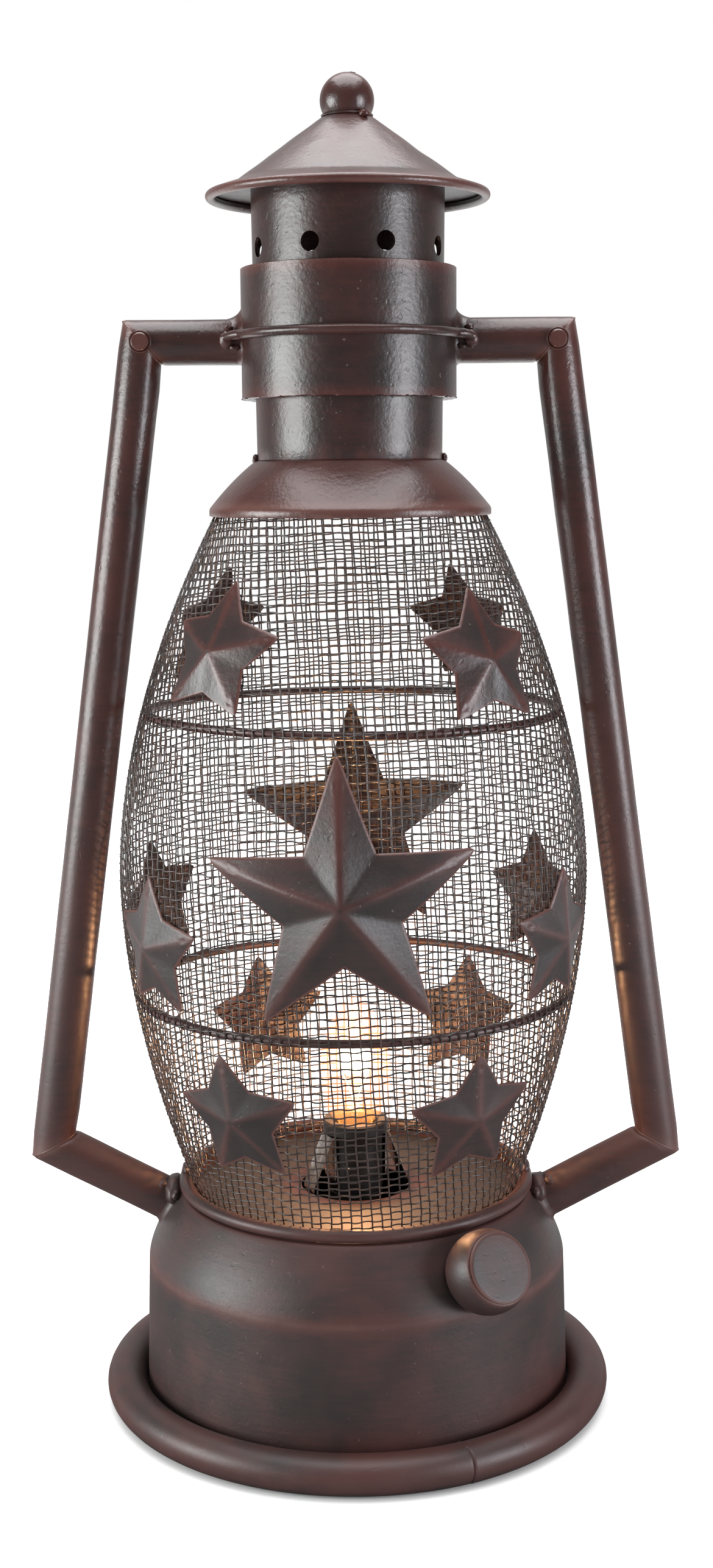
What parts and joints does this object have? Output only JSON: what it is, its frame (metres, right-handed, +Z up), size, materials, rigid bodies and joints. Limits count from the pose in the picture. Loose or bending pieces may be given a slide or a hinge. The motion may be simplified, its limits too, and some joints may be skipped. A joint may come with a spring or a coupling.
{
  "type": "mesh lantern lamp",
  "caption": "Electric table lamp shaped like a hurricane lantern: wire mesh globe with pressed stars, vented chimney, tube handle frame, drop-out bulb holder and turn knob.",
  "frame": {"origin": "on the table, under the centre of the foot ring", "axes": "+Z up; -Y towards the viewer of the picture; the two handle tubes stand at +X and -X"},
  "size_m": [0.2042, 0.159, 0.4051],
  "materials": {
    "bronze_paint": "dark oil-rubbed bronze, satin, with redder rubbed edges",
    "mesh_wire": "dark bronze wire, satin",
    "brass": "plain brass, half bright",
    "spring_steel": "bright plated spring steel",
    "black_plastic": "black moulded plastic, half gloss",
    "black_rubber": "black rubber, matt",
    "clear_glass": "clear glass with a faint warm tone",
    "filament_wire": "glowing tungsten wire"
  },
  "bodies": {
    "lantern": {"foot_ring": "bronze_paint", "base_wall": "bronze_paint", "base_cover": "bronze_paint", "base_pan": "bronze_paint", "globe_bead": "bronze_paint", "mesh_front": "mesh_wire", "mesh_rear": "mesh_wire", "upper_hoop": "bronze_paint", "lower_hoop": "bronze_paint", "shoulder": "bronze_paint", "chimney_tube": "bronze_paint", "chimney_sleeve": "bronze_paint", "sleeve_wire_front": "bronze_paint", "sleeve_wire_rear": "bronze_paint", "cap_cone": "bronze_paint", "finial_ball": "bronze_paint", "upper_arm_left": "bronze_paint", "upper_arm_right": "bronze_paint", "side_tube_left": "bronze_paint", "side_tube_right": "bronze_paint", "lower_arm_left": "bronze_paint", "lower_arm_right": "bronze_paint", "corner_pin_left": "bronze_paint", "corner_pin_right": "bronze_paint", "star_large_front": "bronze_paint", "star_large_rear": "bronze_paint", "star_upper_1": "bronze_paint", "star_upper_2": "bronze_paint", "star_upper_3": "bronze_paint", "star_upper_4": "bronze_paint", "star_middle_1": "bronze_paint", "star_middle_2": "bronze_paint", "star_middle_3": "bronze_paint", "star_middle_4": "bronze_paint", "star_lower_1": "bronze_paint", "star_lower_2": "bronze_paint", "star_lower_3": "bronze_paint", "star_lower_4": "bronze_paint", "switch_bushing": "spring_steel", "switch_nut": "spring_steel", "switch_body": "black_plastic", "cord_bushing": "black_rubber"},
    "holder": {"lamp_holder": "black_plastic", "socket_shell": "brass", "socket_contact": "brass", "holder_clip_left": "spring_steel", "holder_clip_right": "spring_steel"},
    "bulb": {"bulb_glass": "clear_glass", "bulb_shell": "brass", "bulb_button": "brass", "filament_stem": "clear_glass", "filament": "filament_wire"},
    "knob": {"knob_shell": "bronze_paint", "knob_face": "bronze_paint", "switch_shaft": "spring_steel"}
  },
  "joints": [
    {"name": "holder_slide", "type": "slide", "parent": "lantern", "child": "holder", "axis": [0, 0, -1], "range_m": [0, 0.045]},
    {"name": "bulb_turn", "type": "hinge", "parent": "holder", "child": "bulb", "pos_m": [0, 0, 0.08], "axis": [0, 0, 1], "range_deg": [0, 1080]},
    {"name": "knob_turn", "type": "hinge", "parent": "lantern", "child": "knob", "pos_m": [0.03502, -0.05096, 0.0564], "axis": [0.5008, -0.7287, 0.4671], "continuous": true}
  ]
}
